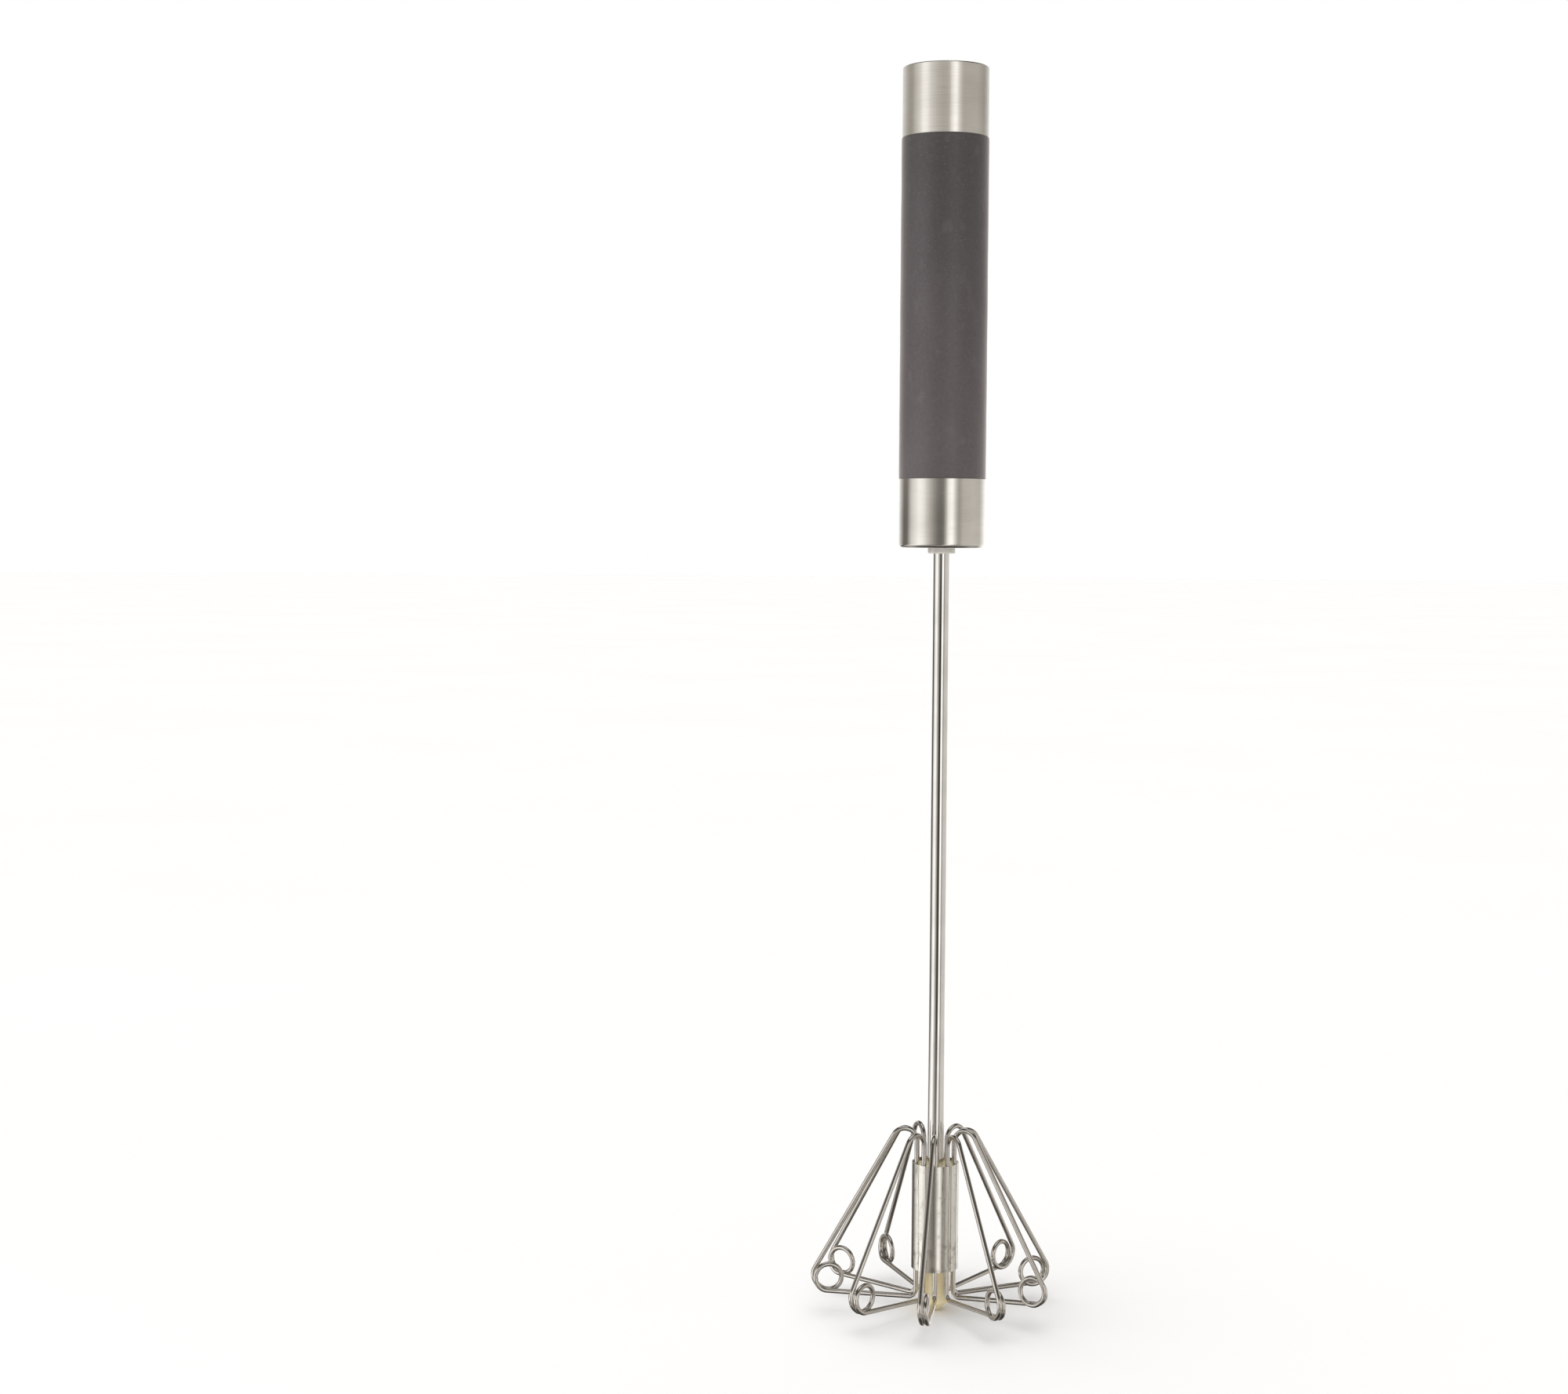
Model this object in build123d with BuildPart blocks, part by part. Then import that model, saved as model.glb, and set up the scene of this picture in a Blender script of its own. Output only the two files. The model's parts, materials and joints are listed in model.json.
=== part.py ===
from build123d import *
import os
from math import acos, atan2, cos, degrees, hypot, radians, sin, tan

# Push-down rotary whisk. Pressing the handle down the shaft drives a twisted strip through a
# slotted nut on the shaft, and the head of ten wires spins; a spring pushes the shaft out again.
# Frame: origin at the tip of the foot, +Z up the shaft to the top of the handle, lengths in mm.
# An azimuth is measured from -Y towards -X, which is clockwise as seen from above.

# Fits
press_gap = 0.02  # radial, between pieces pressed together
running_gap = 0.05  # radial, between the shaft and its bush
slot_gap = 0.12  # each side of the strip in the drive nut
thrust_gap = 0.2  # between pieces that turn against each other
spring_gap = 0.1  # between the spring's ends and their seats
spigot_gap = 0.25  # radial, between the spring and the spigots inside its ends

# Handle
total_length = 350.0
top_cap_length = 19.3
grip_length = 94.6
bottom_cap_length = 19.2
cap_diameter = 24.0
cap_wall = 0.6
cap_end = 0.8
top_cap_rounding = 0.3
bottom_cap_rounding = 1.0
grip_diameter = 24.4
grip_rounding = 0.15
tube_wall = 0.6
plug_length = 12.0
spigot_length = 4.0
lower_plug_length = 13.3

# Guide bush
bush_diameter = 7.7
bush_stand_out = 1.6
bush_flange_diameter = 12.0
bush_flange = 1.5
bush_rounding = 0.4

# Shaft and drive
shaft_diameter = 4.6
shaft_wall = 0.35
shaft_bottom = 16.0
strip_width = 3.2
strip_thickness = 0.8
strip_pitch = 25.0  # rise in one full turn of the twist
strip_bottom = 222.0
strip_head_length = 14.0
strip_pin_diameter = 1.5
strip_pin_length = 19.0
nut_diameter = 9.0
nut_length = 12.0
nut_socket = 6.0
nut_chamfer = 0.5
slot_overrun = 1.0  # of the strip's slot past each end of the solid part of the nut
washer_diameter = 12.0
washer_bore = 4.6
washer_thickness = 1.0
seat_diameter = 14.0
seat_thickness = 0.8
seat_neck_height = 3.0

# Return spring
spring_diameter = 11.0  # to the middle of the wire
spring_wire = 0.9
spring_turns = 14

# Hub
sleeve_diameter = 13.3
sleeve_wall = 0.35
sleeve_bottom = 12.3
sleeve_top = 42.6
core_recess = 0.8
nose_diameter = 8.4
nose_cone_height = 2.6
tip_diameter = 2.4
nose_rounding = 0.6

# Wires, drawn in a plane through the wire's own upright leg: "out" from the leg, and z
wire_count = 10
wire_diameter = 1.4
wire_pitch_radius = 5.55
first_wire_azimuth = 2.5
wire_overlap = 0.35  # half the gap between a wire's two ends inside the sleeve
arch_radius = 3.6
arch_top = 51.6
coil_out = 25.0
coil_height = 9.5
coil_radius = 3.7
coil_step = 1.5  # sideways for each turn
arm_distance = 4.5  # from the coil's centre to the arm
leg_height = 4.1  # of the bottom run where it turns up into the hub
hub_bend_radius = 2.0
arch_bends = 4
coil_bends = 12
bend_share = 0.9  # share of each run that its two bends take up

# The wires are bent and set by hand, so each swings about its upright leg by a different angle,
# and its arch and its coil sit a little high or low
wire_swing = [9, 7.5, 12.5, 15.5, 14, 10.5, 8, -2, 13.5, 7.5]  # degrees
arch_lift = [0.1, 0, 0.9, -0.3, 0.1, 0.1, -0.4, -0.5, 0.7, -0.2]
coil_lift = [-0.1, 0.3, 0.8, -0.2, 0, 0.1, 0, -1.2, 0.4, 0.3]

# Heights and diameters that follow
handle_bottom = total_length - top_cap_length - grip_length - bottom_cap_length
grip_bottom = handle_bottom + bottom_cap_length
grip_top = grip_bottom + grip_length
tube_bottom = handle_bottom + cap_end
tube_top = total_length - cap_end
tube_radius = cap_diameter / 2 - cap_wall - press_gap
plug_radius = tube_radius - tube_wall - press_gap
plug_bottom = tube_top - plug_length
strip_head_bottom = plug_bottom - spigot_length - thrust_gap
strip_head_top = strip_head_bottom + strip_head_length
pin_height = (plug_bottom + strip_head_top) / 2
bush_bottom = handle_bottom - bush_stand_out
lower_plug_top = tube_bottom + lower_plug_length
nut_bottom = lower_plug_top + bush_flange + thrust_gap
nut_top = nut_bottom + nut_length
shaft_top = nut_bottom + nut_socket
washer_bottom = nut_top + thrust_gap
seat_bottom = washer_bottom + washer_thickness
seat_top = seat_bottom + seat_thickness
spring_bottom = seat_top + spring_gap
spring_top = plug_bottom - spring_gap
spigot_radius = (spring_diameter - spring_wire) / 2 - spigot_gap
sleeve_inner_radius = sleeve_diameter / 2 - sleeve_wall
core_radius = sleeve_inner_radius - press_gap
core_top = sleeve_top - core_recess
wire_joint_height = (sleeve_top + sleeve_bottom) / 2

os.makedirs("parts", exist_ok=True)


def save(piece, name):
    """Label a finished piece and write its STEP file."""
    piece.part.label = name
    export_step(piece.part, f"parts/{name}.step")


def outward(azimuth):
    """Horizontal direction at an azimuth."""
    return Vector(-sin(radians(azimuth)), -cos(radians(azimuth)), 0)


def meeting_point(centre, angle_1, distance_1, angle_2, distance_2):
    """Where two lines meet, each given by its normal's angle and its distance from the centre."""
    spread = sin(radians(angle_2 - angle_1))
    out = distance_1 * sin(radians(angle_2)) - distance_2 * sin(radians(angle_1))
    up = distance_2 * cos(radians(angle_1)) - distance_1 * cos(radians(angle_2))
    return centre[0] + out / spread, centre[1] + up / spread


def tangent_angle(centre, point, distance):
    """Angle of the normal of a line that passes the centre at a distance and meets the point."""
    out = point[0] - centre[0]
    up = point[1] - centre[1]
    return degrees(atan2(up, out) + acos(distance / hypot(out, up)))


def wire_corners(arch_rise, coil_rise):
    """Corners of one wire's route as (out, sideways, z), from its top end to its bottom end."""
    arch_centre = (arch_radius, arch_top - arch_radius + arch_rise)
    coil_centre = (coil_out, coil_height + coil_rise)
    # The arm leaves the arch and passes outside the coil's centre
    arm_normal = tangent_angle(arch_centre, coil_centre, arch_radius - arm_distance)
    # The bottom run leaves the coil's lowest point after one more full turn
    leg_normal = tangent_angle(coil_centre, (0, leg_height), coil_radius) - 360
    corners = [(0, 0, wire_joint_height + wire_overlap)]
    arch_turn = (180 - arm_normal) / arch_bends
    for bend in range(arch_bends):
        angle = 180 - bend * arch_turn
        out, up = meeting_point(arch_centre, angle, arch_radius, angle - arch_turn, arch_radius)
        corners.append((out, 0, up))
    coil_turn = (arm_normal - leg_normal) / coil_bends
    distances = [coil_radius] * (coil_bends + 1)
    distances[0] = arm_distance
    distances[1] = (arm_distance + coil_radius) / 2
    for bend in range(coil_bends):
        angle = arm_normal - bend * coil_turn
        out, up = meeting_point(
            coil_centre, angle, distances[bend], angle - coil_turn, distances[bend + 1]
        )
        sideways = -coil_step * coil_turn / 360 * bend
        corners.append((out, sideways, up))
    corners.append((0, 0, leg_height))
    corners.append((0, 0, wire_joint_height - wire_overlap))
    return corners


def bend_radii(points):
    """Radius at each inner corner of a route: as large as its two runs allow."""
    radii = []
    for before, corner, after in zip(points, points[1:], points[2:]):
        run_in = corner - before
        run_out = after - corner
        shorter = min(run_in.length, run_out.length)
        radii.append(bend_share * shorter / 2 / tan(radians(run_in.get_angle(run_out)) / 2))
    radii[-1] = hub_bend_radius
    return radii


def twisted_bar(width, thickness, bottom, top):
    """Rectangular bar twisted right-handed about Z, with its width along X at the strip's head."""
    with BuildPart() as bar:
        with BuildSketch(Plane.XY.offset(bottom)) as section:
            turned = (bottom - strip_head_bottom) / strip_pitch * 360
            Rectangle(width, thickness, rotation=turned)
        with BuildLine() as spine:
            Line((0, 0, bottom), (0, 0, top))
        with BuildLine(Plane.XY.offset(bottom)) as guide:
            Helix(strip_pitch, top - bottom, width)
        sweep(section.sketch, path=spine.line, binormal=guide.line.edges()[0])
    return bar.part


# ---- Handle body ----

with BuildPart() as top_cap:
    with BuildSketch(Plane.XY.offset(grip_top)):
        Circle(cap_diameter / 2)
    extrude(amount=top_cap_length)
    fillet(top_cap.edges().group_by(Axis.Z)[-1], top_cap_rounding)
    with BuildSketch(Plane.XY.offset(grip_top)):
        Circle(cap_diameter / 2 - cap_wall)
    extrude(amount=top_cap_length - cap_end, mode=Mode.SUBTRACT)
save(top_cap, "top_cap")

with BuildPart() as bottom_cap:
    with BuildSketch(Plane.XY.offset(handle_bottom)):
        Circle(cap_diameter / 2)
    extrude(amount=bottom_cap_length)
    fillet(bottom_cap.edges().group_by(Axis.Z)[0], bottom_cap_rounding)
    with BuildSketch(Plane.XY.offset(tube_bottom)):
        Circle(cap_diameter / 2 - cap_wall)
    extrude(amount=bottom_cap_length, mode=Mode.SUBTRACT)
    with Locations((0, 0, handle_bottom)):
        Hole(bush_diameter / 2 + press_gap)
save(bottom_cap, "bottom_cap")

with BuildPart() as handle_tube:
    with BuildSketch(Plane.XY.offset(tube_bottom)):
        Circle(tube_radius)
        Circle(tube_radius - tube_wall, mode=Mode.SUBTRACT)
    extrude(amount=tube_top - tube_bottom)
save(handle_tube, "handle_tube")

with BuildPart() as grip_sleeve:
    with BuildSketch(Plane.XY.offset(grip_bottom)):
        Circle(grip_diameter / 2)
        Circle(tube_radius + press_gap, mode=Mode.SUBTRACT)
    extrude(amount=grip_length)
    grip_edges = grip_sleeve.edges().filter_by(GeomType.CIRCLE)
    fillet(grip_edges.sort_by(SortBy.RADIUS)[-2:], grip_rounding)
save(grip_sleeve, "grip_sleeve")

with BuildPart() as top_plug:
    with BuildSketch(Plane.XY.offset(plug_bottom)):
        Circle(plug_radius)
    extrude(amount=plug_length)
    with BuildSketch(Plane.XY.offset(plug_bottom - spigot_length)):
        Circle(spigot_radius)
    extrude(amount=spigot_length)
    with BuildSketch(Plane.XY.offset(plug_bottom - spigot_length)):
        Rectangle(strip_width + 2 * press_gap, strip_thickness + 2 * press_gap)
    extrude(amount=strip_head_top + press_gap - plug_bottom + spigot_length, mode=Mode.SUBTRACT)
    with Locations(Plane.XZ.shift_origin((0, 0, pin_height))):
        Hole(strip_pin_diameter / 2 + press_gap)
save(top_plug, "top_plug")

with BuildPart() as twisted_strip:
    with BuildSketch(Plane.XY.offset(strip_head_bottom)):
        Rectangle(strip_width, strip_thickness)
    extrude(amount=strip_head_length)
    add(twisted_bar(strip_width, strip_thickness, strip_bottom, strip_head_bottom))
    with Locations(Plane.XZ.shift_origin((0, 0, pin_height))):
        Hole(strip_pin_diameter / 2 + press_gap)
save(twisted_strip, "twisted_strip")

with BuildPart() as strip_pin:
    with BuildSketch(Plane.XZ.shift_origin((0, 0, pin_height))):
        Circle(strip_pin_diameter / 2)
    extrude(amount=strip_pin_length / 2, both=True)
save(strip_pin, "strip_pin")

with BuildPart() as lower_plug:
    with BuildSketch(Plane.XY.offset(tube_bottom)):
        Circle(plug_radius)
        Circle(bush_diameter / 2 + press_gap, mode=Mode.SUBTRACT)
    extrude(amount=lower_plug_length)
save(lower_plug, "lower_plug")

with BuildPart() as guide_bush:
    with BuildSketch(Plane.XY.offset(bush_bottom)):
        Circle(bush_diameter / 2)
    extrude(amount=lower_plug_top - bush_bottom)
    fillet(guide_bush.edges().group_by(Axis.Z)[0], bush_rounding)
    with BuildSketch(Plane.XY.offset(lower_plug_top)):
        Circle(bush_flange_diameter / 2)
    extrude(amount=bush_flange)
    with Locations((0, 0, bush_bottom)):
        Hole(shaft_diameter / 2 + running_gap)
save(guide_bush, "guide_bush")

with BuildPart() as return_spring:
    with BuildLine():
        coil_pitch = (spring_top - spring_bottom - spring_wire) / spring_turns
        coil = Helix(
            coil_pitch,
            coil_pitch * spring_turns,
            spring_diameter / 2,
            center=(0, 0, spring_bottom + spring_wire / 2),
        )
    with BuildSketch(Plane(coil @ 0, z_dir=coil % 0)):
        Circle(spring_wire / 2)
    sweep(path=coil, is_frenet=True)
save(return_spring, "return_spring")

# ---- Carrier body: slides in the handle, does not turn ----

with BuildPart() as thrust_washer:
    with BuildSketch(Plane.XY.offset(washer_bottom)):
        Circle(washer_diameter / 2)
        Circle(washer_bore / 2, mode=Mode.SUBTRACT)
    extrude(amount=washer_thickness)
save(thrust_washer, "thrust_washer")

with BuildPart() as spring_seat:
    with BuildSketch(Plane.XY.offset(seat_bottom)):
        Circle(seat_diameter / 2)
    extrude(amount=seat_thickness)
    with BuildSketch(Plane.XY.offset(seat_top)):
        Circle(spigot_radius)
    extrude(amount=seat_neck_height)
    with Locations((0, 0, seat_bottom)):
        Hole(washer_bore / 2)
save(spring_seat, "spring_seat")

# ---- Whisk body: slides with the carrier and spins ----

with BuildPart() as shaft_tube:
    with BuildSketch(Plane.XY.offset(shaft_bottom)):
        Circle(shaft_diameter / 2)
        Circle(shaft_diameter / 2 - shaft_wall, mode=Mode.SUBTRACT)
    extrude(amount=shaft_top - shaft_bottom)
save(shaft_tube, "shaft_tube")

with BuildPart() as drive_nut:
    with BuildSketch(Plane.XY.offset(nut_bottom)):
        Circle(nut_diameter / 2)
    extrude(amount=nut_length)
    chamfer(drive_nut.edges().group_by(Axis.Z)[-1], nut_chamfer)
    with BuildSketch(Plane.XY.offset(nut_bottom)):
        Circle(shaft_diameter / 2 + press_gap)
    extrude(amount=nut_socket, mode=Mode.SUBTRACT)
    slot = twisted_bar(
        strip_width + 2 * slot_gap,
        strip_thickness + 2 * slot_gap,
        shaft_top - slot_overrun,
        nut_top + slot_overrun,
    )
    add(slot, mode=Mode.SUBTRACT)
save(drive_nut, "drive_nut")

with BuildPart() as hub_core:
    with BuildSketch(Plane.XZ):
        with BuildLine():
            Polyline(
                (0, 0),
                (tip_diameter / 2, 0),
                (nose_diameter / 2, nose_cone_height),
                (nose_diameter / 2, sleeve_bottom),
                (core_radius, sleeve_bottom),
                (core_radius, core_top),
                (0, core_top),
                close=True,
            )
        make_face()
    revolve(axis=Axis.Z)
    nose_edges = hub_core.edges().filter_by(GeomType.CIRCLE)
    fillet(nose_edges.filter_by_position(Axis.Z, 0, nose_cone_height), nose_rounding)
    with BuildSketch(Plane.XY.offset(shaft_bottom)):
        Circle(shaft_diameter / 2 + press_gap)
    extrude(amount=core_top - shaft_bottom, mode=Mode.SUBTRACT)
    groove_width = wire_diameter + 2 * press_gap
    with BuildSketch(Plane.XY.offset(sleeve_bottom)):
        with PolarLocations(wire_pitch_radius, wire_count, start_angle=-90 - first_wire_azimuth):
            Circle(groove_width / 2)
            with Locations((groove_width, 0)):
                Rectangle(2 * groove_width, groove_width)
    extrude(amount=core_top - sleeve_bottom, mode=Mode.SUBTRACT)
save(hub_core, "hub_core")

with BuildPart() as hub_sleeve:
    with BuildSketch(Plane.XY.offset(sleeve_bottom)):
        Circle(sleeve_diameter / 2)
        Circle(sleeve_inner_radius, mode=Mode.SUBTRACT)
    extrude(amount=sleeve_top - sleeve_bottom)
save(hub_sleeve, "hub_sleeve")

for number in range(wire_count):
    hub_azimuth = first_wire_azimuth + 360 / wire_count * number
    foot = outward(hub_azimuth) * wire_pitch_radius
    along = outward(hub_azimuth + wire_swing[number])
    across = outward(hub_azimuth + wire_swing[number] + 90)
    points = [
        foot + along * out + across * sideways + Vector(0, 0, up)
        for out, sideways, up in wire_corners(arch_lift[number], coil_lift[number])
    ]
    with BuildPart() as wire:
        with BuildLine() as route:
            FilletPolyline(*points, radius=bend_radii(points))
        with BuildSketch(Plane(points[0], z_dir=(0, 0, 1))):
            Circle(wire_diameter / 2)
        sweep(path=route.line)
    save(wire, f"wire_{number + 1:02d}")
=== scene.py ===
"""Looks of a push-down rotary whisk: its finishes, its soft pieces, the light and the camera."""

import json
import math

import bpy
from mathutils import Matrix, Vector, noise


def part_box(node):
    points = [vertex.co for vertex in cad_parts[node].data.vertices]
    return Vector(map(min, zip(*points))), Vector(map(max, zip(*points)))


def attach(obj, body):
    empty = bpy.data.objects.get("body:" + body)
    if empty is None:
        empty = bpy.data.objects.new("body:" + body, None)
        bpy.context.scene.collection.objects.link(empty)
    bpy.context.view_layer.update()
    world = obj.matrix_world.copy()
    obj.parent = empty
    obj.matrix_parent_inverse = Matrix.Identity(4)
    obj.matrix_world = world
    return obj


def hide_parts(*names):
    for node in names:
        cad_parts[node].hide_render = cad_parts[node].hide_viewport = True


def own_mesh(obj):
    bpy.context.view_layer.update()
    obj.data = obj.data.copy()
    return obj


# Lengths are in metres and colours are linear RGB, unless a name or a comment says otherwise.
MICRON = 0.000001

# Camera, level with the middle of the shaft and a little to the left of the whisk
CAMERA_PLACE = (-0.0440, -0.700, 0.2208)
CAMERA_LENS = 57.2  # millimetres
CAMERA_SENSOR = 36.0  # millimetres, its width
CAMERA_TILT = 3.05  # degrees down
CAMERA_ROLL = 0.37  # degrees
CAMERA_SHIFT = -0.02  # of the picture's width
CAMERA_REACH = (0.01, 50.0)  # nearest and furthest that it sees

# Studio: screens round the whisk as (degrees, brightness), 0 towards the camera, and between two
# of them the brightness runs evenly from one to the other
SCREENS_LEVEL = [
    (-180, 1.30),
    (-150, 0.75),
    (-128, 0.08),
    (-110, 0.12),
    (-95, 0.90),
    (-80, 1.20),
    (-67, 1.40),
    (-55, 1.20),
    (-44, 0.80),
    (-34, 0.50),
    (-20, 0.16),
    (-9, 0.03),
    (1, 0.04),
    (8, 0.55),
    (14, 1.35),
    (24, 1.60),
    (32, 0.90),
    (42, 0.34),
    (55, 0.70),
    (90, 0.78),
    (118, 0.75),
    (145, 1.30),
]
SCREENS_ABOVE = [
    (-180, 0.95),
    (-147, 0.80),
    (-120, 0.50),
    (-105, 0.46),
    (-90, 0.72),
    (-77, 0.90),
    (-66, 1.30),
    (-55, 1.28),
    (-44, 0.92),
    (-24, 0.68),
    (-10, 0.60),
    (5, 0.62),
    (13, 1.15),
    (24, 1.55),
    (34, 0.85),
    (44, 0.58),
    (90, 0.60),
    (120, 0.46),
    (147, 0.80),
]
SCREENS_BELOW = [
    (-180, 0.90),
    (-155, 0.08),
    (-138, 0.15),
    (-116, 0.90),
    (-97, 1.45),
    (-81, 1.50),
    (-67, 1.20),
    (-53, 0.78),
    (-38, 0.45),
    (-15, 0.28),
    (-4, 0.32),
    (6, 0.95),
    (15, 1.40),
    (22, 1.10),
    (30, 0.48),
    (42, 0.36),
    (55, 0.70),
    (90, 0.80),
    (118, 0.72),
    (145, 1.20),
]
ABOVE_FROM = (-0.03, 0.12)  # sine of the elevation, from the level screens to those above
BELOW_FROM = (-0.19, -0.24)
# Brightness from straight down to straight up, as (sine of the elevation, brightness)
HEIGHT = [
    (-1.0, 0.06),
    (-0.80, 0.08),
    (-0.68, 0.60),
    (-0.50, 0.25),
    (0.45, 0.25),
    (0.60, 0.08),
    (0.86, 0.06),
    (0.93, 0.80),
    (1.0, 0.90),
]
SCREENS_END = (0.34, 0.52)  # sine of the elevation where the screens fade out
WARM_LIGHT = (1.0, 0.95, 0.87)
WHITE_LIGHT = (1.0, 1.0, 1.0)
WHITE_FROM = 1.0  # brightness above which the light is white

SOFT_LIGHT_SPREAD = 120.0  # degrees
SOFT_LIGHT_LEAN = 24.0  # degrees, towards the left of the camera
SOFT_LIGHT_STRENGTH = 2.75
FLOOR_RADIUS = 12.0
FLOOR_SIDES = 96
FLOOR_WHITE = ((0.90, 0.90, 0.90), (0.86, 0.86, 0.86))
FLOOR_PATCHES = 3.0  # to a metre

# Finishes, most of them as the palest and the darkest shade
CAP_STEEL = ((0.74, 0.71, 0.66), (0.60, 0.57, 0.52))
SHAFT_STEEL = ((0.80, 0.775, 0.74), (0.66, 0.635, 0.60))
WIRE_STEEL = ((0.72, 0.685, 0.635), (0.60, 0.565, 0.52))
SLEEVE_STEEL = ((0.76, 0.73, 0.67), (0.60, 0.57, 0.51))
TARNISH = (0.25, 0.22, 0.18)
SEAM_OUT = 0.0041  # to the right of the sleeve's axis
SEAM_WIDTH = 0.00016
INNER_STEEL = ((0.62, 0.62, 0.62), (0.48, 0.47, 0.46))
RUBBER_TOP = ((0.058, 0.051, 0.053), (0.041, 0.036, 0.037))
RUBBER_BOTTOM = ((0.112, 0.092, 0.096), (0.085, 0.069, 0.072))
RUBBER_DUST = (0.22, 0.21, 0.20)
RUBBER_SHEEN = (1.0, 0.90, 0.86)
CREAM = ((1.0, 0.88, 0.62), (1.0, 0.82, 0.50))
NYLON = ((0.78, 0.76, 0.70), (0.68, 0.65, 0.58))
ACETAL = ((0.82, 0.81, 0.78), (0.74, 0.73, 0.69))
PLASTIC_SCATTER = (1.0, 0.7, 0.4)  # how much further red light goes in than green and blue
PLASTIC_DEPTH = 0.004
NOISE_SPAN = (0.3, 0.7)  # where nearly all of a noise texture's values lie

# Rubber grip
GRIP_END_ROUNDING = 0.00035
GRIP_CORNER_TURNS = (0, 15, 30, 45, 60, 75, 90)  # degrees, round each outer edge
GRIP_RINGS = 150
GRIP_SIDES = 160
GRIP_WAVINESS = 0.00005
GRIP_WAVES = 90.0  # to a metre
GRIP_WAVE_MIDDLE = 0.5  # puts most of each wave inside the rubber's nominal surface

# Return spring
SPRING_TURNS = 14
SPRING_WIRE = 0.0009
SPRING_CLOSED_TURNS = 1.25  # at each end
SPRING_STEPS_PER_TURN = 40
SPRING_SIDES = 12


# ---- Materials ----

# Sockets of a Mix node that are for colours
MIX_FIRST = 6
MIX_SECOND = 7
MIX_RESULT = 2


class Finish:
    """One procedural material on a Principled shader, worked out from the object's own space."""

    def __init__(self, name, **settings):
        self.material = bpy.data.materials.new(name)
        self.material.use_nodes = True
        self.nodes = self.material.node_tree.nodes
        self.shader = self.nodes["Principled BSDF"]
        for socket, value in settings.items():
            self.shader.inputs[socket.replace("_", " ")].default_value = value

    def join(self, source, socket):
        self.material.node_tree.links.new(source, socket)

    def space(self, stretch=(1, 1, 1)):
        """Object coordinates, squeezed along each axis by the factors of stretch."""
        coordinates = self.nodes.new("ShaderNodeTexCoord")
        mapping = self.nodes.new("ShaderNodeMapping")
        mapping.inputs["Scale"].default_value = stretch
        self.join(coordinates.outputs["Object"], mapping.inputs["Vector"])
        return mapping.outputs["Vector"]

    def grain(self, scale, stretch=(1, 1, 1), detail=3.0):
        """Noise with about scale spots to a metre."""
        texture = self.nodes.new("ShaderNodeTexNoise")
        texture.inputs["Scale"].default_value = scale
        texture.inputs["Detail"].default_value = detail
        self.join(self.space(stretch), texture.inputs["Vector"])
        return texture.outputs["Fac"]

    def height(self, low, high):
        """0 below the height low and 1 above the height high."""
        parts = self.nodes.new("ShaderNodeSeparateXYZ")
        self.join(self.space(), parts.inputs["Vector"])
        return self.spread(parts.outputs["Z"], low, high, 0.0, 1.0)

    def spread(self, value, low, high, at_low, at_high):
        """The value, mapped from the span low to high onto at_low to at_high."""
        node = self.nodes.new("ShaderNodeMapRange")
        node.inputs["From Min"].default_value = low
        node.inputs["From Max"].default_value = high
        node.inputs["To Min"].default_value = at_low
        node.inputs["To Max"].default_value = at_high
        self.join(value, node.inputs["Value"])
        return node.outputs["Result"]

    def levels(self, grain, at_low, at_high):
        """A noise's usual span, mapped onto at_low to at_high."""
        return self.spread(grain, *NOISE_SPAN, at_low, at_high)

    def math(self, operation, first, second=0.0):
        """A sum on two values, each a number or another node's output."""
        node = self.nodes.new("ShaderNodeMath")
        node.operation = operation
        for value, socket in zip((first, second), node.inputs):
            if isinstance(value, float):
                socket.default_value = value
            else:
                self.join(value, socket)
        return node.outputs["Value"]

    def seam(self, out, width):
        """1 on an upright line at X = out on the side towards -Y, and 0 elsewhere."""
        parts = self.nodes.new("ShaderNodeSeparateXYZ")
        self.join(self.space(), parts.inputs["Vector"])
        distance = self.math("ABSOLUTE", self.math("SUBTRACT", parts.outputs["X"], out))
        line = self.spread(distance, width / 2, width, 1.0, 0.0)
        return self.math("MULTIPLY", line, self.spread(parts.outputs["Y"], -width, 0.0, 1.0, 0.0))

    def mix(self, factor, first, second):
        """A colour between first and second, each a colour or another node's output."""
        node = self.nodes.new("ShaderNodeMix")
        node.data_type = "RGBA"
        self.join(factor, node.inputs["Factor"])
        for colour, place in ((first, MIX_FIRST), (second, MIX_SECOND)):
            if isinstance(colour, tuple):
                node.inputs[place].default_value = (*colour, 1.0)
            else:
                self.join(colour, node.inputs[place])
        return node.outputs[MIX_RESULT]

    def colour(self, source):
        self.join(source, self.shader.inputs["Base Color"])

    def roughness(self, source):
        self.join(source, self.shader.inputs["Roughness"])

    def bump(self, source, depth):
        """Relief of the given depth in microns, on top of any relief that is already there."""
        node = self.nodes.new("ShaderNodeBump")
        node.inputs["Distance"].default_value = depth * MICRON
        self.join(source, node.inputs["Height"])
        normal = self.shader.inputs["Normal"]
        if normal.is_linked:
            self.join(normal.links[0].from_socket, node.inputs["Normal"])
        self.join(node.outputs["Normal"], normal)


def brushed_steel():
    """Stainless steel turned under an abrasive belt, so fine scratches run round the cap."""
    finish = Finish("brushed_steel", Metallic=1.0)
    rings = finish.grain(7500.0, stretch=(0.016, 0.016, 1), detail=5.0)
    clouds = finish.grain(70.0, stretch=(1, 1, 2))
    scratched = finish.levels(rings, 0.05, 0.35)
    shade = finish.math("ADD", scratched, finish.levels(clouds, 0.0, 0.6))
    finish.colour(finish.mix(shade, *CAP_STEEL))
    finish.roughness(finish.levels(rings, 0.13, 0.20))
    finish.bump(rings, 1.7)
    return finish.material


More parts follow.
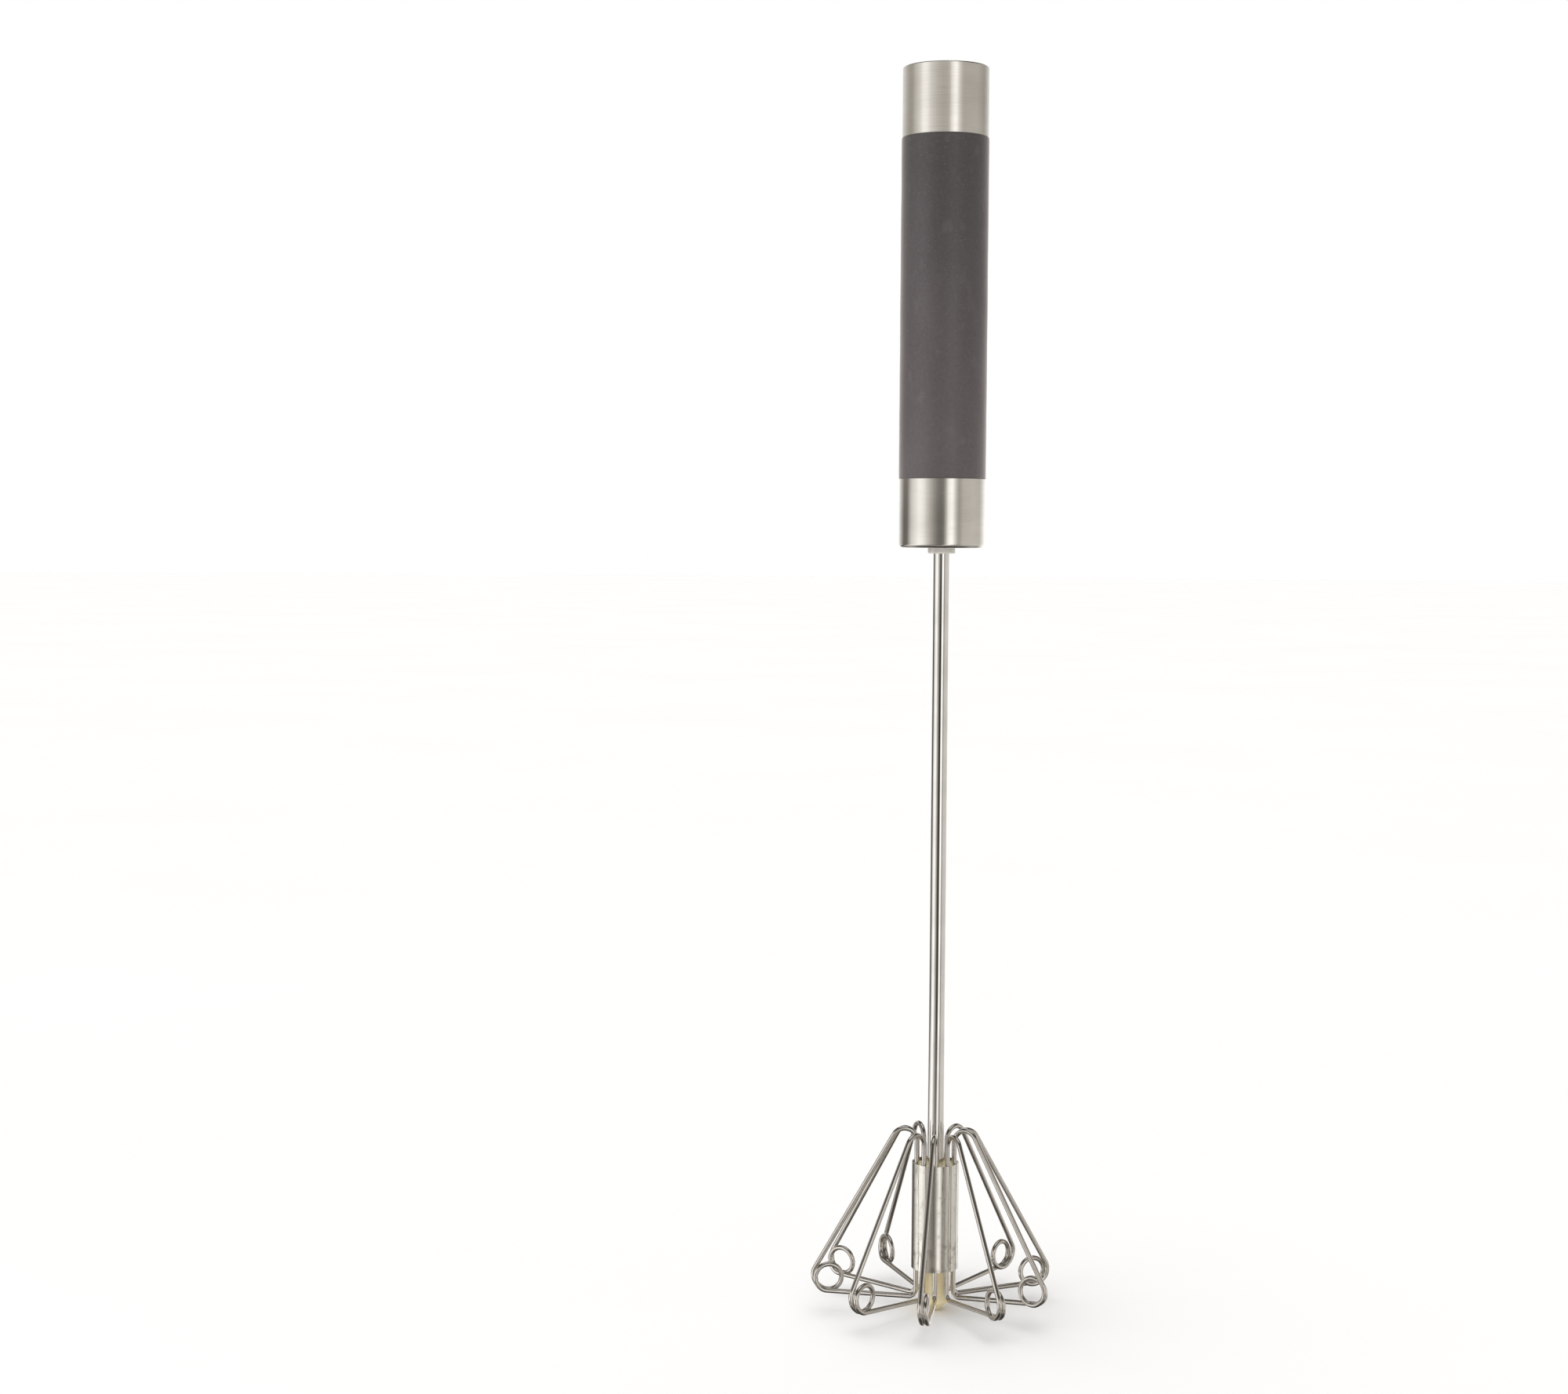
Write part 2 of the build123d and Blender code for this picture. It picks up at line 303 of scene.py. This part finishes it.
def drawn_steel(name, shades, smooth, rough, streak):
    """Bright steel drawn through a die, with an uneven polish and fine marks.

    The marks are squeezed along Z by the factor streak, so a small one makes them long.
    """
    finish = Finish(name, Metallic=1.0)
    marks = finish.grain(1400.0, stretch=(1, 1, streak), detail=2.0)
    clouds = finish.grain(160.0, detail=4.0)
    marked = finish.levels(marks, 0.0, 0.4)
    shade = finish.math("ADD", marked, finish.levels(clouds, 0.0, 0.6))
    finish.colour(finish.mix(shade, *shades))
    finish.roughness(finish.levels(clouds, smooth, rough))
    finish.bump(marks, 0.8)
    return finish.material


def tarnished_steel():
    """The hub's thin rolled sleeve: satin steel with a seam, and stains near its lower end."""
    finish = Finish("tarnished_steel", Metallic=1.0)
    streaks = finish.grain(1200.0, stretch=(1, 1, 0.05), detail=3.0)
    stains = finish.grain(330.0, detail=5.0)
    spots = finish.grain(900.0, detail=3.0)
    satin = finish.grain(5000.0, stretch=(1, 1, 0.3), detail=2.0)
    low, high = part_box("hub_sleeve")
    lower_end = finish.height(high.z, low.z)
    steel = finish.mix(finish.levels(streaks, 0.0, 1.0), *SLEEVE_STEEL)
    stains_low = finish.math("ADD", stains, finish.spread(lower_end, 0.0, 1.0, -0.1, 0.05))
    stained = finish.mix(finish.spread(stains_low, 0.55, 0.7, 0.0, 0.5), steel, TARNISH)
    spotted = finish.mix(finish.spread(spots, 0.66, 0.74, 0.0, 0.6), stained, TARNISH)
    seam = finish.spread(finish.seam(SEAM_OUT, SEAM_WIDTH), 0.0, 1.0, 0.0, 0.75)
    finish.colour(finish.mix(seam, spotted, TARNISH))
    finish.roughness(finish.spread(stains, 0.40, 0.70, 0.11, 0.24))
    finish.bump(satin, 2.0)
    finish.bump(streaks, 1.5)
    return finish.material


def inner_steel(name, scale):
    """Plain bright-zinc steel of the pieces inside the handle."""
    finish = Finish(name, Metallic=1.0)
    crystals = finish.grain(scale, detail=4.0)
    finish.colour(finish.mix(finish.spread(crystals, 0.35, 0.65, 0.0, 1.0), *INNER_STEEL))
    finish.roughness(finish.levels(crystals, 0.25, 0.42))
    finish.bump(crystals, 6.0)
    return finish.material


def matt_rubber():
    """Ground rubber, paler towards its lower end, with fine dust caught in it and faint rubs."""
    finish = Finish("matt_rubber", Specular_IOR_Level=0.55, Sheen_Weight=0.7, Sheen_Roughness=0.32)
    finish.shader.inputs["Sheen Tint"].default_value = (*RUBBER_SHEEN, 1.0)
    grain = finish.grain(3600.0, detail=3.0)
    clouds = finish.grain(60.0, stretch=(1, 1, 0.5), detail=6.0)
    mottle = finish.grain(900.0, detail=5.0)
    dust = finish.grain(2400.0, detail=3.0)
    rubs = finish.grain(260.0, stretch=(1, 1, 0.6), detail=6.0)
    low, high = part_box("grip_sleeve")
    patches = finish.spread(clouds, 0.32, 0.68, -0.1, 0.6)
    shade = finish.math("ADD", patches, finish.levels(mottle, 0.0, 0.5))
    rubber = finish.mix(
        finish.height(low.z, high.z),
        finish.mix(shade, *RUBBER_BOTTOM),
        finish.mix(shade, *RUBBER_TOP),
    )
    rubbed = finish.mix(finish.spread(rubs, 0.58, 0.78, 0.0, 0.16), rubber, RUBBER_DUST)
    finish.colour(finish.mix(finish.spread(dust, 0.62, 0.76, 0.0, 0.45), rubbed, RUBBER_DUST))
    finish.roughness(finish.levels(clouds, 0.38, 0.48))
    finish.bump(grain, 14.0)
    return finish.material


def moulded_plastic(name, shades, scale, scatter):
    """Moulded plastic that light goes a little way into, with faint flow marks."""
    finish = Finish(name, Subsurface_Weight=scatter, Subsurface_Scale=PLASTIC_DEPTH)
    finish.shader.inputs["Subsurface Radius"].default_value = PLASTIC_SCATTER
    flow = finish.grain(scale, stretch=(1, 1, 0.4), detail=4.0)
    skin = finish.grain(2600.0, detail=2.0)
    finish.colour(finish.mix(finish.levels(flow, 0.0, 1.0), *shades))
    finish.roughness(finish.levels(flow, 0.3, 0.46))
    finish.bump(skin, 8.0)
    return finish.material


def make_finishes():
    """The material of each slot in the part's record."""
    return {
        "cap_steel": brushed_steel(),
        "grip_rubber": matt_rubber(),
        "tube_steel": inner_steel("tube_steel", 300.0),
        "plug_nylon": moulded_plastic("plug_nylon", NYLON, 180.0, 0.15),
        "bush_plastic": moulded_plastic("bush_plastic", NYLON, 500.0, 0.1),
        "strip_steel": inner_steel("strip_steel", 700.0),
        "spring_steel": drawn_steel("spring_steel", INNER_STEEL, 0.18, 0.3, 1.0),
        "nut_acetal": moulded_plastic("nut_acetal", ACETAL, 260.0, 0.1),
        "shaft_steel": drawn_steel("shaft_steel", SHAFT_STEEL, 0.04, 0.10, 0.02),
        "core_plastic": moulded_plastic("core_plastic", CREAM, 420.0, 0.4),
        "sleeve_steel": tarnished_steel(),
        "wire_steel": drawn_steel("wire_steel", WIRE_STEEL, 0.13, 0.24, 1.0),
    }


def node_slots(record):
    """Which slot each CAD node takes its finish from."""
    return {piece["node"]: piece["material_slot"] for piece in record["subparts"]}


def coat(piece, material):
    """Give a piece one material all over."""
    if not piece.material_slots:
        piece.data.materials.append(material)
    for entry in piece.material_slots:
        entry.material = material


# ---- Pieces ----


def mesh_piece(name, points, faces):
    mesh = bpy.data.meshes.new(name)
    mesh.from_pydata(points, [], faces)
    mesh.polygons.foreach_set("use_smooth", [True] * len(mesh.polygons))
    mesh.update()
    piece = bpy.data.objects.new(name, mesh)
    bpy.context.scene.collection.objects.link(piece)
    return piece


def wrap_faces(rings, sides, closed=False):
    """Quads between rings of points, and back to the first ring if the tube's ends are joined."""
    spans = rings if closed else rings - 1
    faces = []
    for ring in range(spans):
        here = ring * sides
        there = (ring + 1) % rings * sides
        for side in range(sides):
            after = (side + 1) % sides
            faces.append((here + side, here + after, there + after, there + side))
    return faces


def grip_profile(bottom, top, inner, outer):
    """Outline of the grip's wall as (radius, height), from its inner lower edge and outwards."""
    rounding = GRIP_END_ROUNDING
    lower = []
    for turn in GRIP_CORNER_TURNS:
        radius = outer - rounding + rounding * math.sin(math.radians(turn))
        height = bottom + rounding - rounding * math.cos(math.radians(turn))
        lower.append((radius, height))
    upper = [(radius, bottom + top - height) for radius, height in reversed(lower)]
    length = top - bottom - 2 * rounding
    side = [
        (outer, bottom + rounding + length * step / GRIP_RINGS) for step in range(1, GRIP_RINGS)
    ]
    return [(inner, bottom)] + lower + side + upper + [(inner, top)]


def make_grip():
    """The rubber sleeve, stretched over its tube, so its outside is very slightly uneven."""
    low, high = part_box("grip_sleeve")
    outer = high.x
    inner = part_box("handle_tube")[1].x
    profile = grip_profile(low.z, high.z, inner, outer)
    points = []
    for radius, height in profile:
        for side in range(GRIP_SIDES):
            turn = math.tau * side / GRIP_SIDES
            direction = Vector((math.cos(turn), math.sin(turn), 0))
            spot = direction * radius + Vector((0, 0, height))
            if radius > inner:
                wave = noise.noise(spot * GRIP_WAVES) - GRIP_WAVE_MIDDLE
                spot += direction * GRIP_WAVINESS * wave
            points.append(spot)
    faces = wrap_faces(len(profile), GRIP_SIDES, closed=True)
    grip = mesh_piece("grip_rubber", points, faces)
    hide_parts("grip_sleeve")
    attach(grip, "handle")
    return grip


def round_bar(name, route, radius, sides):
    """A round bar along a route of points, with flat ends."""
    points = []
    normal = (route[1] - route[0]).orthogonal().normalized()
    for number, spot in enumerate(route):
        before = route[max(number - 1, 0)]
        after = route[min(number + 1, len(route) - 1)]
        along = (after - before).normalized()
        normal = (normal - along * normal.dot(along)).normalized()
        side_way = along.cross(normal)
        for side in range(sides):
            turn = math.tau * side / sides
            points.append(spot + (normal * math.cos(turn) + side_way * math.sin(turn)) * radius)
    faces = wrap_faces(len(route), sides)
    faces.append(tuple(reversed(range(sides))))
    faces.append(tuple(range(len(points) - sides, len(points))))
    return mesh_piece(name, points, faces)


def make_spring():
    """The return spring, with its end turns closed."""
    low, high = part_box("return_spring")
    radius = high.x - SPRING_WIRE / 2
    bottom = low.z + SPRING_WIRE / 2
    top = high.z - SPRING_WIRE / 2
    closed_rise = SPRING_CLOSED_TURNS * SPRING_WIRE
    open_turns = SPRING_TURNS - 2 * SPRING_CLOSED_TURNS
    open_pitch = (top - bottom - 2 * closed_rise) / open_turns
    route = []
    for step in range(SPRING_TURNS * SPRING_STEPS_PER_TURN + 1):
        turns = step / SPRING_STEPS_PER_TURN
        opened = min(max(turns - SPRING_CLOSED_TURNS, 0), open_turns)
        height = bottom + opened * open_pitch + (turns - opened) * SPRING_WIRE
        angle = math.tau * turns
        route.append(Vector((radius * math.cos(angle), radius * math.sin(angle), height)))
    spring = round_bar("spring_coil", route, SPRING_WIRE / 2, SPRING_SIDES)
    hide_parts("return_spring")
    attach(spring, "handle")
    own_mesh(spring)
    return spring


# ---- Studio ----


def light_colour(brightness):
    """Dim light in the studio is warm, and bright light is white."""
    share = min(brightness / WHITE_FROM, 1.0) ** 2
    tint = Vector(WARM_LIGHT).lerp(Vector(WHITE_LIGHT), share)
    return (*(tint * brightness), 1.0)


def closed_ring(pattern):
    """Ramp stops for a pattern in degrees, ending as it starts."""
    stops = [(degrees / 360 + 0.5, brightness) for degrees, brightness in pattern]
    return stops + [(1.0, pattern[0][1])]


def world_ramp(tree, source, stops):
    """A colour ramp over stops of (place from 0 to 1, brightness)."""
    ramp = tree.nodes.new("ShaderNodeValToRGB")
    elements = ramp.color_ramp.elements
    elements[0].position, elements[0].color = stops[0][0], light_colour(stops[0][1])
    elements[1].position, elements[1].color = stops[-1][0], light_colour(stops[-1][1])
    for place, brightness in stops[1:-1]:
        elements.new(place).color = light_colour(brightness)
    tree.links.new(source, ramp.inputs["Fac"])
    return ramp.outputs["Color"]


def make_world():
    """Light and dark screens round the whisk, which its steel mirrors, and a white backdrop."""
    world = bpy.data.worlds.new("studio")
    bpy.context.scene.world = world
    world.use_nodes = True
    tree = world.node_tree
    background = tree.nodes["Background"]

    def math_node(operation, *values):
        node = tree.nodes.new("ShaderNodeMath")
        node.operation = operation
        for socket, value in zip(node.inputs, values):
            if isinstance(value, (int, float)):
                socket.default_value = value
            else:
                tree.links.new(value, socket)
        return node.outputs["Value"]

    def blend(value, span, first, second):
        share = tree.nodes.new("ShaderNodeMapRange")
        share.inputs["From Min"].default_value, share.inputs["From Max"].default_value = span
        tree.links.new(value, share.inputs["Value"])
        mixed = tree.nodes.new("ShaderNodeMix")
        mixed.data_type = "RGBA"
        tree.links.new(share.outputs["Result"], mixed.inputs["Factor"])
        tree.links.new(first, mixed.inputs[MIX_FIRST])
        tree.links.new(second, mixed.inputs[MIX_SECOND])
        return mixed.outputs[MIX_RESULT]

    direction = tree.nodes.new("ShaderNodeTexCoord").outputs["Generated"]
    parts = tree.nodes.new("ShaderNodeSeparateXYZ")
    tree.links.new(direction, parts.inputs["Vector"])
    towards_camera = math_node("MULTIPLY", parts.outputs["Y"], -1.0)
    angle = math_node("ARCTAN2", parts.outputs["X"], towards_camera)
    round_share = math_node("MULTIPLY_ADD", angle, 1 / math.tau, 0.5)
    level = world_ramp(tree, round_share, closed_ring(SCREENS_LEVEL))
    above = world_ramp(tree, round_share, closed_ring(SCREENS_ABOVE))
    below = world_ramp(tree, round_share, closed_ring(SCREENS_BELOW))
    level_or_above = blend(parts.outputs["Z"], ABOVE_FROM, level, above)
    all_screens = blend(parts.outputs["Z"], BELOW_FROM, level_or_above, below)
    height_share = math_node("MULTIPLY_ADD", parts.outputs["Z"], 0.5, 0.5)
    height_stops = [(sine / 2 + 0.5, brightness) for sine, brightness in HEIGHT]
    above_and_below = world_ramp(tree, height_share, height_stops)
    slope = math_node("ABSOLUTE", parts.outputs["Z"])
    screens = blend(slope, SCREENS_END, all_screens, above_and_below)

    backdrop = tree.nodes.new("ShaderNodeMix")
    backdrop.data_type = "RGBA"
    backdrop.inputs[MIX_SECOND].default_value = (*WHITE_LIGHT, 1.0)
    seen = tree.nodes.new("ShaderNodeLightPath").outputs["Is Camera Ray"]
    tree.links.new(seen, backdrop.inputs["Factor"])
    tree.links.new(screens, backdrop.inputs[MIX_FIRST])
    tree.links.new(backdrop.outputs[MIX_RESULT], background.inputs["Color"])


def make_soft_light():
    """An evenly lit ceiling, which lights the table top the same everywhere."""
    data = bpy.data.lights.new("soft_light", "SUN")
    data.angle = math.radians(SOFT_LIGHT_SPREAD)
    data.energy = SOFT_LIGHT_STRENGTH
    light = bpy.data.objects.new("soft_light", data)
    light.rotation_euler.y = -math.radians(SOFT_LIGHT_LEAN)
    light.visible_glossy = False
    bpy.context.scene.collection.objects.link(light)


def make_floor():
    """A wide white table top under the foot."""
    points = []
    for side in range(FLOOR_SIDES):
        turn = math.tau * side / FLOOR_SIDES
        points.append(Vector((math.cos(turn), math.sin(turn), 0)) * FLOOR_RADIUS)
    floor = mesh_piece("floor", points, [tuple(range(FLOOR_SIDES))])
    finish = Finish("floor_white", Roughness=0.9)
    finish.colour(finish.mix(finish.grain(FLOOR_PATCHES), *FLOOR_WHITE))
    coat(floor, finish.material)
    floor.visible_glossy = False


def make_camera():
    data = bpy.data.cameras.new("camera")
    data.lens = CAMERA_LENS
    data.sensor_width = CAMERA_SENSOR
    data.shift_y = CAMERA_SHIFT
    data.clip_start, data.clip_end = CAMERA_REACH
    camera = bpy.data.objects.new("camera", data)
    camera.matrix_world = (
        Matrix.Translation(CAMERA_PLACE)
        @ Matrix.Rotation(math.radians(90 - CAMERA_TILT), 4, "X")
        @ Matrix.Rotation(math.radians(CAMERA_ROLL), 4, "Z")
    )
    bpy.context.scene.collection.objects.link(camera)
    bpy.context.scene.camera = camera


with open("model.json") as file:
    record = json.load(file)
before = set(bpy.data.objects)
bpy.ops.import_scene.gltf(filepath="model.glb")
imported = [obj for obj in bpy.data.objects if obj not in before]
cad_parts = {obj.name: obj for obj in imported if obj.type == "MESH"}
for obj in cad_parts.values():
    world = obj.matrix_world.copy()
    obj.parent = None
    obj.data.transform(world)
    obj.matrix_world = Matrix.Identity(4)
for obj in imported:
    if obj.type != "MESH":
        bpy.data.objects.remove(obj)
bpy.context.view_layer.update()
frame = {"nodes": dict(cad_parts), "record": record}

finishes = make_finishes()
for node, slot in node_slots(frame["record"]).items():
    coat(frame["nodes"][node], finishes[slot])
coat(make_grip(), finishes["grip_rubber"])
coat(make_spring(), finishes["spring_steel"])

make_world()
make_soft_light()
make_floor()
make_camera()
bpy.context.scene.view_settings.view_transform = "Standard"
